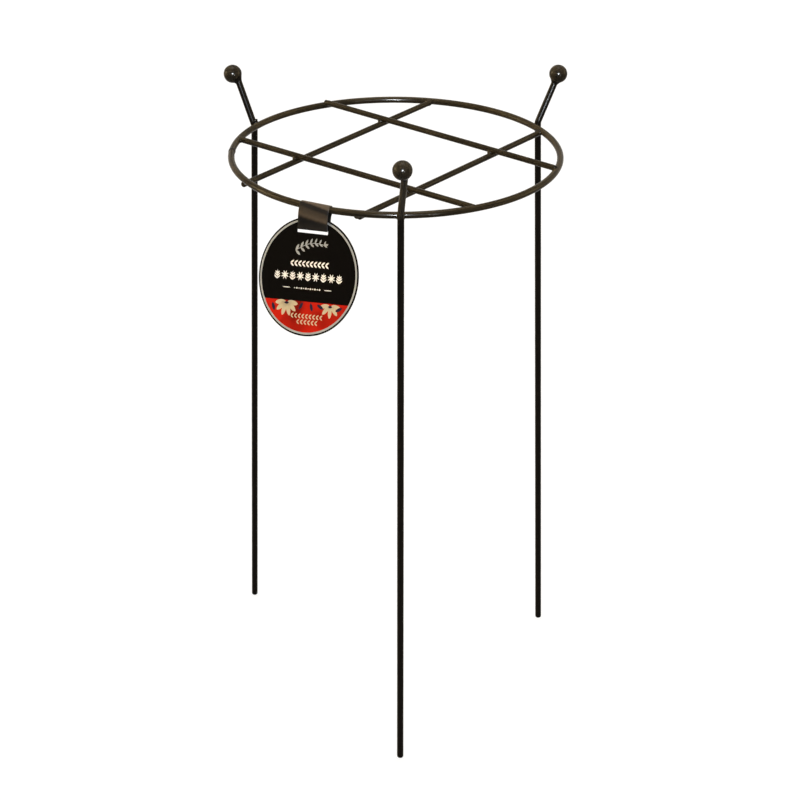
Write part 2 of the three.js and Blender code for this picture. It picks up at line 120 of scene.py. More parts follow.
class Tree:
    """A node tree that adds a node, sets it up and joins its sockets in one call."""

    def __init__(self, node_tree):
        self.node_tree = node_tree

    def join(self, node, sockets):
        """Sets sockets of a node, each to a value or to a link."""
        for name, value in sockets.items():
            if isinstance(value, Link):
                self.node_tree.links.new(value.socket, node.inputs[name])
            else:
                node.inputs[name].default_value = value

    def node(self, kind, settings=None, sockets=None, output=0):
        """Adds a node, its settings first and then its sockets, and gives one of its outputs."""
        node = self.node_tree.nodes.new(kind)
        for name, value in (settings or {}).items():
            if name == "stops":
                self.set_stops(node.color_ramp, value)
            else:
                setattr(node, name, value)
        self.join(node, sockets or {})
        return Link(self, node.outputs[output])

    @staticmethod
    def set_stops(ramp, stops):
        """Sets a colour ramp's stops, each a place and a shade of grey."""
        while len(ramp.elements) < len(stops):
            ramp.elements.new(1)
        for element, (place, shade) in zip(ramp.elements, stops):
            element.position = place
            element.color = (shade, shade, shade, 1)

    def outputs(self, link, *names):
        """Several outputs of the node that a link comes from."""
        return [Link(self, link.socket.node.outputs[name]) for name in names]

    def parts(self, vector):
        """The X, Y and Z of a vector."""
        return self.outputs(self.node("ShaderNodeSeparateXYZ", None, {"Vector": vector}), *"XYZ")

    def skin(self):
        """The object's own coordinates."""
        return self.node("ShaderNodeTexCoord", None, None, "Object")

    def kept(self, name, output="Fac"):
        """What a mesh keeps under a name, read by a material."""
        return self.node("ShaderNodeAttribute", {"attribute_name": name}, None, output)

    def ramp(self, value, *stops):
        """A value from 0 to 1 read through stops of (place, shade)."""
        return self.node("ShaderNodeValToRGB", {"stops": stops}, {"Fac": value})

    def mix(self, share, first, second):
        """The first colour, going over to the second by share."""
        first, second = (c if isinstance(c, Link) else (*c, 1) for c in (first, second))
        return self.node("ShaderNodeMix", {"data_type": "RGBA"}, {0: share, 6: first, 7: second}, 2)

    def cloud(self, place, scale, detail=2.0, roughness=0.5, distortion=0.0):
        """Noise from 0 to 1 over coordinates, scale being the number of lumps a metre."""
        sockets = {"Vector": place, "Scale": scale, "Detail": detail}
        sockets.update({"Roughness": roughness, "Distortion": distortion})
        return self.node("ShaderNodeTexNoise", None, sockets)

    def bump(self, height, strength, depth):
        """A normal from a height, depth being the height of a full step in metres."""
        return self.node("ShaderNodeBump", None, {"Height": height, "Strength": strength, "Distance": depth})

    def read(self, name):
        """A number that the points of a geometry keep under a name."""
        return self.node("GeometryNodeInputNamedAttribute", {"data_type": "FLOAT"}, {"Name": name})

    def store(self, geometry, kind, name, value):
        """A geometry whose points keep a value under a name."""
        return self.node(
            "GeometryNodeStoreNamedAttribute", {"data_type": kind, "domain": "POINT"},
            {"Geometry": geometry, "Name": name, "Value": value},
        )


def new_finish(name):
    """A new material: itself, its tree and its Principled shader."""
    material = bpy.data.materials.new(name)
    material.use_nodes = True
    return material, Tree(material.node_tree), material.node_tree.nodes["Principled BSDF"]


def new_growth(name, numbers):
    """A Geometry Nodes tree that takes a geometry, numbers with these defaults and a material."""
    node_tree = bpy.data.node_groups.new(name, "GeometryNodeTree")
    add_socket = node_tree.interface.new_socket
    add_socket("Geometry", in_out="INPUT", socket_type="NodeSocketGeometry")
    for label, default in numbers.items():
        kind = "NodeSocketInt" if isinstance(default, int) else "NodeSocketFloat"
        add_socket(label, in_out="INPUT", socket_type=kind).default_value = default
    add_socket("Material", in_out="INPUT", socket_type="NodeSocketMaterial")
    add_socket("Geometry", in_out="OUTPUT", socket_type="NodeSocketGeometry")
    tree = Tree(node_tree)
    taken = node_tree.nodes.new("NodeGroupInput")
    return tree, {socket.name: Link(tree, socket) for socket in taken.outputs if socket.name}


def close_growth(tree, geometry, material):
    """Ends a tree: its instances made real and its material set."""
    real = tree.node("GeometryNodeRealizeInstances", None, {"Geometry": geometry})
    painted = tree.node("GeometryNodeSetMaterial", None, {"Geometry": real, "Material": material})
    tree.join(tree.node_tree.nodes.new("NodeGroupOutput"), {"Geometry": painted})
    return tree.node_tree


# Meshes and pieces


def place_object(name, data):
    """A new object in the scene."""
    thing = bpy.data.objects.new(name, data)
    bpy.context.scene.collection.objects.link(thing)
    return thing


def plain_mesh(holder):
    """The mesh that an object comes to once its modifiers or its curve's settings are worked out."""
    depsgraph = bpy.context.evaluated_depsgraph_get()
    return bpy.data.meshes.new_from_object(
        holder.evaluated_get(depsgraph), preserve_all_data_layers=True, depsgraph=depsgraph
    )


def grow(carrier, node_tree, inputs):
    """The plain mesh that a Geometry Nodes tree makes of a carrier mesh."""
    holder = place_object("carrier", carrier)
    modifier = holder.modifiers.new("growth", "NODES")
    modifier.node_group = node_tree
    for item in node_tree.interface.items_tree:
        if item.in_out == "INPUT" and item.name in inputs:
            modifier[item.identifier] = inputs[item.name]
    mesh = plain_mesh(holder)
    holder.modifiers.remove(modifier)
    bpy.data.objects.remove(holder)
    bpy.data.meshes.remove(carrier)
    return mesh


def keep_values(mesh, name, values):
    """Keeps a number of each point of a mesh under a name."""
    mesh.attributes.new(name, "FLOAT", "POINT").data.foreach_set("value", values)


def line_mesh(points, cyclic=False):
    """A carrier of points joined by edges."""
    mesh = bpy.data.meshes.new("line")
    count = len(points)
    edges = [(i, (i + 1) % count) for i in range(count if cyclic else count - 1)]
    mesh.from_pydata([tuple(point) for point in points], edges, [])
    return mesh


def mesh_of(points, faces):
    """A smooth mesh of points and faces."""
    mesh = bpy.data.meshes.new("piece")
    mesh.from_pydata([tuple(point) for point in points], [], faces)
    mesh.validate()
    mesh.shade_smooth()
    return mesh


def add_piece(name, mesh, body, slot, *replaced, material=None):
    """A finished piece of the object, with its place in its mesh."""
    mesh.name = name
    if material:
        mesh.materials.clear()
        mesh.materials.append(material)
    piece = place_object(name, mesh)
    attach(piece, body)
    if replaced:
        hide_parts(*replaced)


def add_coated(node, mesh, slot, material=None):
    """The coated form of a node of the welded frame."""
    add_piece(f"{node}_coated", mesh, support_body, slot, node, material=material)


def ball_directions(subdivisions):
    """Evenly spread directions, and the triangles between them."""
    shape = bmesh.new()
    bmesh.ops.create_icosphere(shape, subdivisions=subdivisions, radius=1)
    points = np.array([v.co for v in shape.verts])
    faces = [[v.index for v in face.verts] for face in shape.faces]
    shape.free()
    return points / np.linalg.norm(points, axis=1)[:, None], faces


def waviness(points, frequency, seed):
    """A smooth uneven value from about -1 to 1 for each point, the same in each run."""
    rng = np.random.default_rng(seed)
    total = np.zeros(len(points))
    waves, slowest, fastest, gain = 7, 0.6, 1.6, 1.6
    for _ in range(waves):
        way = rng.normal(size=3)
        way /= np.linalg.norm(way)
        pace = rng.uniform(slowest, fastest)
        total += np.sin(points @ way * frequency * pace * turn / 2 + rng.uniform(0, turn))
    return total / waves * gain


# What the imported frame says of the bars


def middle_of(node):
    """The middle of a node's box."""
    low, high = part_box(node)
    return (low + high) / 2


def long_creases(node, shortest):
    """The sharp edges of a faceted bar that run along it, as pairs of points, none shorter than shortest."""
    merge_distance = 0.001 * mm
    least_angle = math.radians(10)
    shape = bmesh.new()
    shape.from_mesh(nodes[node].data)
    bmesh.ops.remove_doubles(shape, verts=shape.verts, dist=merge_distance)
    found = []
    for edge in shape.edges:
        if edge.calc_length() < shortest or len(edge.link_faces) != 2:
            continue
        if edge.calc_face_angle() > least_angle:
            found.append((edge.verts[0].co.copy(), edge.verts[1].co.copy()))
    shape.free()
    return found


def straight_runs(node, shortest):
    """The straight stretches of a faceted bar, lowest first: each its start, end and radius.

    Creases shorter than shortest, such as those round a bend or an end, don't count.
    """
    same_way = math.cos(math.radians(3))
    level_slope = 0.1
    groups = []
    for a, b in long_creases(node, shortest):
        way = (b - a).normalized()
        for group_way, creases in groups:
            if abs(group_way.dot(way)) > same_way:
                creases.append((a, b))
                break
        else:
            groups.append((way, [(a, b)]))
    runs = []
    for way, creases in groups:
        total = Vector()
        for a, b in creases:
            total += (b - a) if (b - a).dot(way) > 0 else (a - b)
        axis = total.normalized()
        if axis.z < 0 or (abs(axis.z) < level_slope and axis.x < 0):
            axis.negate()
        feet = [a - axis * a.dot(axis) for a, _ in creases]
        centre = sum(feet, Vector()) / len(feet)
        radius = sum((foot - centre).length for foot in feet) / len(feet)
        reach = [point.co.dot(axis) for point in nodes[node].data.vertices]
        runs.append((centre + axis * min(reach), centre + axis * max(reach), radius))
    return sorted(runs, key=lambda run: run[0].z)


wire_crease, leg_crease = 100 * mm, 30 * mm
ring_low, ring_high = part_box("ring")
ring_bar_radius = (ring_high.z - ring_low.z) / 2
ring_radius = (ring_high.x - ring_low.x) / 2 - ring_bar_radius
ring_middle = middle_of("ring")
wire_runs = {side: straight_runs(f"wire_{side}", wire_crease)[0] for side in upper_wires + lower_wires}
leg_runs = {side: straight_runs(f"leg_{side}", leg_crease) for side in leg_sides}
ball_radius = (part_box("ball_left")[1].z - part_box("ball_left")[0].z) / 2


def on_ring(azimuth):
    """The point of the ring's axis line at an azimuth."""
    return ring_middle + Vector((ring_radius * math.cos(azimuth), ring_radius * math.sin(azimuth), 0))


def azimuth_of(point):
    """A point's azimuth about the ring's axis."""
    return math.atan2(point.y - ring_middle.y, point.x - ring_middle.x)


def on_wire(side, node):
    """The point of a wire's axis that lies nearest to a weld node's middle."""
    start, end, _ = wire_runs[side]
    way = (end - start).normalized()
    return start + way * (middle_of(node) - start).dot(way)


def arm_corner(side):
    """Where the axes of a leg and of its arm meet."""
    (foot, top, _), (low, high, _) = leg_runs[side]
    return intersect_line_line(foot, top, low, high)[0]


def on_arm(side, before):
    """The point of an arm's axis that lies a distance before its ball's middle."""
    low, high, _ = leg_runs[side][1]
    way = (high - low).normalized()
    corner = arm_corner(side)
    return corner + way * ((middle_of(f"ball_{side}") - corner).dot(way) - before)


# Settings


def a_length(name, millimetres, description):
    return FloatProperty(name=name, description=description, default=millimetres * mm, unit="LENGTH")


def an_angle(name, degrees, description):
    return FloatProperty(name=name, description=description, default=math.radians(degrees), subtype="ANGLE")


def a_share(name, default, description):
    return FloatProperty(name=name, description=description, default=default, min=0, max=1)


def a_strength(name, default, description="In watts a square metre"):
    return FloatProperty(name=name, description=description, default=default, min=0)


def a_colour(name, default, description):
    return FloatVectorProperty(
        name=name, description=description, default=default, subtype="COLOR", min=0, max=1
    )


class BarSettings(bpy.types.PropertyGroup):
    """The coated bars and balls."""

    dark: a_colour("Dark coat", (0.0062, 0.0048, 0.0034), "Coat colour in the shade of the grain")
    ring_bronze: a_colour("Ring bronze", (0.066, 0.050, 0.027), "Warm streaks of the ring's coat")
    wire_bronze: a_colour("Wire bronze", (0.048, 0.037, 0.021), "Warm streaks of the wires' coat")
    # The legs' bronze is the bar coat made darker: painted shade on the upright legs.
    shaded_leg_bronze: a_colour("Shaded leg bronze", (0.0115, 0.0085, 0.0058), "Warm streaks of the legs' coat, darkened as painted shade")
    # Painted light: the front arm's lighter bronze above the ring stands in for the light it catches.
    arm_painted_light: a_colour("Arm painted light", (0.085, 0.071, 0.050), "Painted light on the front arm, above the ring")
    ball_bronze: a_colour("Ball bronze", (0.056, 0.045, 0.030), "Warm patches of the balls' coat")
    roughness: a_share("Roughness", 0.18, "Mean roughness of the coat")
    coat: a_length("Coat", 0.33, "Thickness of the coat on the bars")
    ball_coat: a_length("Ball coat", 0.3, "Thickness of the coat on the balls")
    unevenness: a_length("Unevenness", 0.06, "How far the rolled bar strays from true round")
    sides: IntProperty(name="Sides", description="Facets round a bar", default=32, min=8)
    step: a_length("Step", 2, "Length of a facet along a bar")
    bend_radius: a_length("Bend radius", 10, "Radius of the bend between leg and arm")
    foot_rounding: a_length("Foot rounding", 2.4, "Radius of the rounded edge of a foot")
    end_rounding: a_length("End rounding", 1.9, "Radius of the rounded edge of a cropped wire")


class WeldSettings(bpy.types.PropertyGroup):
    """The weld beads."""

    fillet: a_length("Fillet", 1.6, "How wide the weld metal fills a corner")
    neck_fillet: a_length("Neck fillet", 3.6, "How wide it fills the corner between arm and ball")
    toe: a_length("Toe", 0.35, "Thickness of weld metal over the bars")
    ripple: a_length("Ripple", 0.09, "Height of the ripples of a bead")
    ripple_pitch: a_length("Ripple pitch", 1.1, "Distance between ripples")
    roughness: a_share("Roughness", 0.26, "Mean roughness")


class TagSettings(bpy.types.PropertyGroup):
    """The swing tag."""

    radius: a_length("Radius", 59.2, "Radius of the disc")
    thickness: a_length("Thickness", 0.8, "Of the card")
    hang: a_length("Hang", 68.5, "From the middle of the loop down to the disc's middle")
    setback: a_length("Setback", 2.2, "How far the disc lies behind the middle of the loop")
    aside: a_length("Aside", -2.5, "How far round the ring the disc's middle lies from the loop's")
    lean: an_angle("Lean", 21.7, "How far the tag's foot stands out")
    twist: an_angle("Twist", -6.9, "Turn of the disc about the vertical")
    roll: an_angle("Roll", 7.3, "Turn of the disc in its own plane")
    slot_width: a_length("Slot width", 36.5, "Along the slot")
    slot_height: a_length("Slot height", 3.9, "Across the slot")
    slot_rise: a_length("Slot rise", 44.6, "The slot's middle over the disc's")
    strap_thickness: a_length("Strap thickness", 0.68, "Of the strap")
    loop_width: a_length("Loop width", 33, "Width of the strap over the ring")
    root_width: a_length("Root width", 36.2, "Width of the strap where it leaves the disc")
    end_width: a_length("End width", 35.6, "Width of the strap in the slot")
    clearance: a_length("Clearance", 0.35, "Between the strap and the slot and the disc's face")
    loop_clearance: a_length("Loop clearance", 0.36, "Between the strap and the ring")
    print_height: a_length("Print height", 0.04, "How far the print stands proud")
    print_turn: an_angle("Print turn", 1.4, "Turn of the print on the disc")
    band_level: a_length("Band level", -25, "Upper edge of the coloured band, from the disc's middle")
    black: a_colour("Black print", (0.0028, 0.0023, 0.0021), "Ground of the disc")
    brown: a_colour("Brown card", (0.098, 0.074, 0.054), "The strap and the disc's back")
    white: a_colour("White print", (0.88, 0.87, 0.85), "Flowers, seedlings, leaves and dots")
    silver: a_colour("Silver print", (0.40, 0.41, 0.42), "Rim line and sprig")
    red: a_colour("Red print", (0.54, 0.015, 0.006), "Ground of the band")
    cream: a_colour("Cream print", (0.60, 0.50, 0.34), "Blossoms and rows of leaves on the band")
    navy: a_colour("Navy print", (0.022, 0.018, 0.040), "Dark leaves on the band")


class StageSettings(bpy.types.PropertyGroup):
    """The floor, the lamps and the camera."""

    camera_place: FloatVectorProperty(
        name="Camera", description="The camera's place from the foot of the ring's axis", subtype="XYZ",
        default=(0, -2.2119, 1.4309), unit="LENGTH",
    )
    camera_pitch: an_angle("Pitch", 26.634, "How far the camera looks down")
    camera_yaw: an_angle("Yaw", 0.146, "How far the camera looks to the right")
    camera_roll: an_angle("Roll", 0.29, "How far the camera leans to the left")
    camera_view: an_angle("Field of view", 20.24, "Across the picture")
    floor_colour: a_colour("Floor", (0.15, 0.15, 0.15), "Colour that takes the shadows")
    floor_glow: a_strength("Floor glow", 0.86, "Brightness of the floor to the camera and in reflections")
    sky: a_strength("Sky", 0.05, "Strength of the surrounding light")
    overhead: a_strength("Overhead lamp", 3.2)
    front: a_strength("Front lamp", 1.1)
    left: a_strength("Left lamp", 3.6)
    right: a_strength("Right lamp", 1.4)
    glint: a_strength("Glint", 44, "Lamp seen in the gloss alone, in watts a square metre")
    sheen: a_strength("Sheen", 2.6, "Lamps seen in the arms' gloss alone, in watts a square metre")
    bounce: a_strength("Bounce", 1.8, "Lamp from below seen in the gloss alone, in watts a square metre")


class PlantSupportSettings(bpy.types.PropertyGroup):
    """All settings of the plant support."""

    bars: PointerProperty(type=BarSettings)
    welds: PointerProperty(type=WeldSettings)
    tag: PointerProperty(type=TagSettings)
    stage: PointerProperty(type=StageSettings)


# Finishes of the metal

coat_ior = 1.1


def bar_coat(name, place_of, bronze, settings, painted_light_bronze=None):
    """Dark powder coat over bronze: streaks along the metal, fine grain and an orange-peel skin.

    A lighter bronze, painted light on the metal above the ring's level, is blended in across that level.
    """
    material, tree, shader = new_finish(name)
    skin = tree.skin()
    streaks = tree.cloud(place_of(tree, skin), scale=1.0, detail=4.0, roughness=0.6)
    patches = tree.cloud(skin, scale=45.0, detail=3.0, roughness=0.55)
    grain = tree.cloud(skin, scale=1900.0, detail=2.0, roughness=0.6)
    peel = tree.cloud(skin, scale=650.0, detail=2.0, roughness=0.5)
    worn = streaks * 0.6 + patches * 0.25 + grain * 0.15
    warmth = tree.ramp(worn, (0.32, 0.0), (0.68, 1.0))
    # Painted light: the metal above the ring's level is made lighter than the bar below.
    if painted_light_bronze:
        below, over = 2 * mm, 4 * mm
        level = tree.parts(skin)[2]
        risen = (level - (ring_middle.z - below)) * (1 / over)
        share = tree.ramp(risen, (0.0, 0.0), (1.0, 1.0))
        bronze = tree.mix(share, bronze, painted_light_bronze)
    tree.join(shader, {
        "Base Color": tree.mix(warmth, settings.dark, bronze),
        "Roughness": settings.roughness + (grain - 0.5) * 0.12 + (patches - 0.5) * 0.1,
        "Normal": tree.bump(peel * 0.7 + grain * 0.3, strength=0.35, depth=0.05 * mm),
        "IOR": coat_ior,
    })
    return material


def along_bar(tree, skin):
    """Coordinates that run slowly along a bar and fast round it."""
    along_scale, round_scale = 22.0, 3.2
    x, y, _ = tree.parts(tree.kept("bar_round", "Vector"))
    sockets = {"X": tree.kept("bar_along") * along_scale, "Y": x * round_scale, "Z": y * round_scale}
    return tree.node("ShaderNodeCombineXYZ", None, sockets)


def over_ball(tree, skin):
    """Coordinates for even patches on a ball."""
    scale = 160.0
    return tree.node("ShaderNodeVectorMath", {"operation": "SCALE"}, {0: skin, "Scale": scale})


def weld_coat(name, bronze, settings, bars):
    """The same coat over weld metal: glossier and lumpier."""
    material, tree, shader = new_finish(name)
    skin = tree.skin()
    patches = tree.cloud(skin, scale=180.0, detail=3.0, roughness=0.6)
    grain = tree.cloud(skin, scale=1500.0, detail=2.0, roughness=0.6)
    lumps = tree.cloud(skin, scale=480.0, detail=3.0, roughness=0.55)
    warmth = tree.ramp(patches * 0.6 + grain * 0.4, (0.36, 0.0), (0.6, 1.0))
    tree.join(shader, {
        "Base Color": tree.mix(warmth, bars.dark, bronze),
        "Roughness": settings.roughness + (grain - 0.5) * 0.15,
        "Normal": tree.bump(lumps, strength=0.5, depth=0.12 * mm),
        "IOR": coat_ior,
    })
    return material


# The round bars


def round_bar_growth(sides):
    """A round bar along the carrier's edges, its radius read from the carrier's points."""
    tree, given = new_growth("Round bar", {
        "Sides": sides, "Unevenness": 0.0, "Lump length": 25 * mm, "Seed": 0.0,
    })
    path = tree.node("GeometryNodeMeshToCurve", None, {"Mesh": given["Geometry"]})
    length = tree.node("GeometryNodeSplineParameter", None, None, "Length")
    path = tree.store(path, "FLOAT", "bar_along", length)
    here = tree.node("GeometryNodeInputPosition")
    circle = tree.node(
        "GeometryNodeCurvePrimitiveCircle", None, {"Resolution": given["Sides"], "Radius": 1.0}
    )
    circle = tree.store(circle, "FLOAT_VECTOR", "bar_round", here)
    bar = tree.node("GeometryNodeCurveToMesh", None, {
        "Curve": path, "Profile Curve": circle, "Scale": tree.read("bar_radius"), "Fill Caps": True,
    })
    lumps = tree.node("ShaderNodeTexNoise", {"noise_dimensions": "4D"}, {
        "Vector": here, "W": given["Seed"], "Scale": 1 / given["Lump length"], "Detail": 2.0,
    })
    strength = (lumps - 0.5) * 2 * given["Unevenness"]
    normal = tree.node("GeometryNodeInputNormal")
    offset = tree.node("ShaderNodeVectorMath", {"operation": "SCALE"}, {0: normal, "Scale": strength})
    bar = tree.node("GeometryNodeSetPosition", None, {"Geometry": bar, "Offset": offset})
    bar = tree.node("GeometryNodeSetShadeSmooth", None, {"Geometry": bar})
    return close_growth(tree, bar, given["Material"])


def straight(start, end, radius, step):
    """Stations from start to end, a step apart or a little less, each a place and the bar's radius there."""
    count = max(1, math.ceil((end - start).length / step))
    return [(start.lerp(end, i / count), radius) for i in range(count + 1)]


def rounded_end(tip, inward, radius, rounding, steps=5):
    """Stations from the very end of a bar to where it has its full radius."""
    stations = []
    for i in range(steps + 1):
        angle = turn / 4 * i / steps
        place = tip + inward * rounding * (1 - math.cos(angle))
        stations.append((place, radius - rounding * (1 - math.sin(angle))))
    return stations


def bend(before, corner, after, radius, bar_radius, steps=10):
    """Stations round a bend at a corner between two directions."""
    angle = before.angle(after)
    reach = radius * math.tan(angle / 2)
    side = (after - before * after.dot(before)).normalized()
    start = corner - before * reach
    stations = []
    for i in range(steps + 1):
        part = angle * i / steps
        place = start + before * radius * math.sin(part) + side * radius * (1 - math.cos(part))
        stations.append((place, bar_radius))
    return stations


def add_bar(node, stations, settings, material, seed, cyclic=False):
    """A coated bar through stations, with nothing of it below the ground."""
    growth = bpy.data.node_groups.get("Round bar") or round_bar_growth(settings.sides)
    path = line_mesh([place for place, _ in stations], cyclic)
    keep_values(path, "bar_radius", [radius + settings.coat for _, radius in stations])
    mesh = grow(path, growth, {
        "Sides": settings.sides,
        "Unevenness": settings.unevenness,
        "Seed": float(seed),
        "Material": material,
    })
    for vertex in mesh.vertices:
        vertex.co.z = max(vertex.co.z, 0)
    add_coated(node, mesh, bar_slot)


class PLANT_OT_ring(bpy.types.Operator):
    """Roll the ring's round bar"""

    bl_idname = "plant_support.ring"
    bl_label = "Ring"

    def execute(self, context):
        settings = context.scene.plant_support.bars
        material = bar_coat("Bronze ring coat", along_bar, settings.ring_bronze, settings)
        seam = azimuth_of(middle_of("ring_seam_weld"))
        count = math.ceil(turn * ring_radius / settings.step)
        stations = [(on_ring(seam + turn * i / count), ring_bar_radius) for i in range(count)]
        add_bar("ring", stations, settings, material, 1, cyclic=True)
        return {"FINISHED"}


class PLANT_OT_wires(bpy.types.Operator):
    """Lay the four wires of the grid"""

    bl_idname = "plant_support.wires"
    bl_label = "Grid wires"

    def execute(self, context):
        settings = context.scene.plant_support.bars
        material = bar_coat("Bronze wire coat", along_bar, settings.wire_bronze, settings)
        for seed, (side, (start, end, radius)) in enumerate(wire_runs.items()):
            way = (end - start).normalized()
            first = rounded_end(start, way, radius, settings.end_rounding)
            last = rounded_end(end, -way, radius, settings.end_rounding)
            middle = straight(first[-1][0], last[-1][0], radius, settings.step)
            add_bar(f"wire_{side}", first + middle[1:-1] + last[::-1], settings, material, seed)
        return {"FINISHED"}


class PLANT_OT_legs(bpy.types.Operator):
    """Draw the three legs, each from its rounded foot over the bend to the ball"""

    bl_idname = "plant_support.legs"
    bl_label = "Legs"

    def execute(self, context):
        settings = context.scene.plant_support.bars
        bronze = settings.shaded_leg_bronze
        dark = bar_coat("Bronze leg coat", along_bar, bronze, settings)
        # The front leg's coat is made lighter above the ring, as painted light.
        painted_light_coat = bar_coat("Bronze front leg coat with painted light", along_bar, bronze, settings, settings.arm_painted_light)
        materials = {"left": dark, "right": dark, "front": painted_light_coat}
        for seed, side in enumerate(leg_sides):
            (foot, top, radius), (low, high, _) = leg_runs[side]
            leg_way = (top - foot).normalized()
            arm_way = (high - low).normalized()
            ground = foot - leg_way * (foot.z / leg_way.z)
            end = rounded_end(ground, leg_way, radius, settings.foot_rounding)
            curve = bend(leg_way, arm_corner(side), arm_way, settings.bend_radius, radius)
            shank = straight(end[-1][0], curve[0][0], radius, settings.step)
            arm = straight(curve[-1][0], on_arm(side, ball_radius / 2), radius, settings.step)
            stations = end + shank[1:-1] + curve + arm[1:]
            add_bar(f"leg_{side}", stations, settings, materials[side], seed)
        return {"FINISHED"}


class PLANT_OT_balls(bpy.types.Operator):
    """Forge the balls on the arms' ends"""

    bl_idname = "plant_support.balls"
    bl_label = "Balls"

    def execute(self, context):
        settings = context.scene.plant_support.bars
        material = bar_coat("Bronze ball coat", over_ball, settings.ball_bronze, settings)
        dent_height, dents_across = 0.05 * mm, 1.7
        directions, faces = ball_directions(subdivisions=6)
        for seed, side in enumerate(leg_sides):
            dents = waviness(directions, dents_across, seed) * dent_height
            radii = ball_radius + settings.ball_coat + dents
            points = np.array(middle_of(f"ball_{side}")) + directions * radii[:, None]
            add_coated(f"ball_{side}", mesh_of(points, faces), bar_slot, material)
        return {"FINISHED"}


# Weld beads, grown from distances to the surfaces that they join


def to_bar(start, end, radius):
    """Distance to the surface of a straight bar."""
    a = np.array(start)
    way = np.array((end - start).normalized())

    def field(points):
        off = points - a
        along = off @ way
        return np.linalg.norm(off - along[:, None] * way, axis=1) - radius

    return field


def to_ring(points):
    """Distance to the surface of the ring's bar."""
    off = points - np.array(ring_middle)
    out = np.hypot(off[:, 0], off[:, 1]) - ring_radius
    return np.hypot(out, off[:, 2]) - ring_bar_radius


def to_collar(centre, radius, half_length, power=6):
    """Distance to a rounded collar round the ring's bar."""
    centre = np.array(centre)
    out = centre - np.array(ring_middle)
    along = np.cross(np.array(up), out / np.linalg.norm(out))

    def field(points):
        off = points - centre
        run = off @ along
        across = np.linalg.norm(off - run[:, None] * along, axis=1)
        share = ((run / half_length) ** power + (across / radius) ** power) ** (1 / power)
        return (share - 1) * half_length

    return field


def to_ball(side):
    """Distance to the surface of a ball."""
    centre = np.array(middle_of(f"ball_{side}"))
    return lambda points: np.linalg.norm(points - centre, axis=1) - ball_radius


def to_lump(node, share, corner=None, drawn_in=0.0):
    """Distance to a rounded lump in a weld node's box, drawn in towards the corner that it fills."""
    low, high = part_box(node)
    middle = (low + high) / 2
    centre = np.array(middle.lerp(corner, drawn_in) if corner else middle)
    half = np.array((high - low) / 2) * share

    def field(points):
        scaled = np.linalg.norm((points - centre) / half, axis=1)
        return (scaled - 1) * half.min()

    return field


def least(fields, blend, points):
    """The smooth minimum of distances, which fills the corners between their surfaces."""
    total = fields[0](points)
    for field in fields[1:]:
        other = field(points)
        share = np.clip(0.5 + 0.5 * (other - total) / blend, 0, 1)
        total = other * (1 - share) + total * share - blend * share * (1 - share)
    return total


def weld_mesh(heart, fields, reach, settings, seed, toe_share, fillet):
    """The skin of weld metal round a heart, found by stepping outwards until it is left."""
    steps, halvings, lump_length, lump_share = 80, 12, 3 * mm, 0.5
    directions, faces = ball_directions(subdivisions=5)
    heart = np.array(heart)
    rng = np.random.default_rng(seed)
    ripple_way = rng.normal(size=3)
    ripple_way[2] = 0
    ripple_way /= np.linalg.norm(ripple_way)

    def outside(radii):
        points = heart + directions * radii[:, None]
        fade = 1 - (radii / reach) ** 2
        phase = (points - heart) @ ripple_way / settings.ripple_pitch * turn
        uneven = 1 + lump_share * waviness((points - heart) / lump_length, 1.0, seed)
        bead = toe_share * (settings.toe * uneven + settings.ripple * np.sin(phase))
        return least(fields, fillet, points) - bead * fade > 0

    inner = np.zeros(len(directions))
    left = np.zeros(len(directions), bool)
    for i in range(1, steps + 1):
        radii = np.full(len(directions), reach * i / steps)
        left |= outside(radii)
        inner = np.where(left, inner, radii)
    outer = np.minimum(inner + reach / steps, reach)
    for _ in range(halvings):
        middle = (inner + outer) / 2
        out = outside(middle)
        inner, outer = np.where(out, inner, middle), np.where(out, middle, outer)
    return mesh_of(heart + directions * inner[:, None], faces)


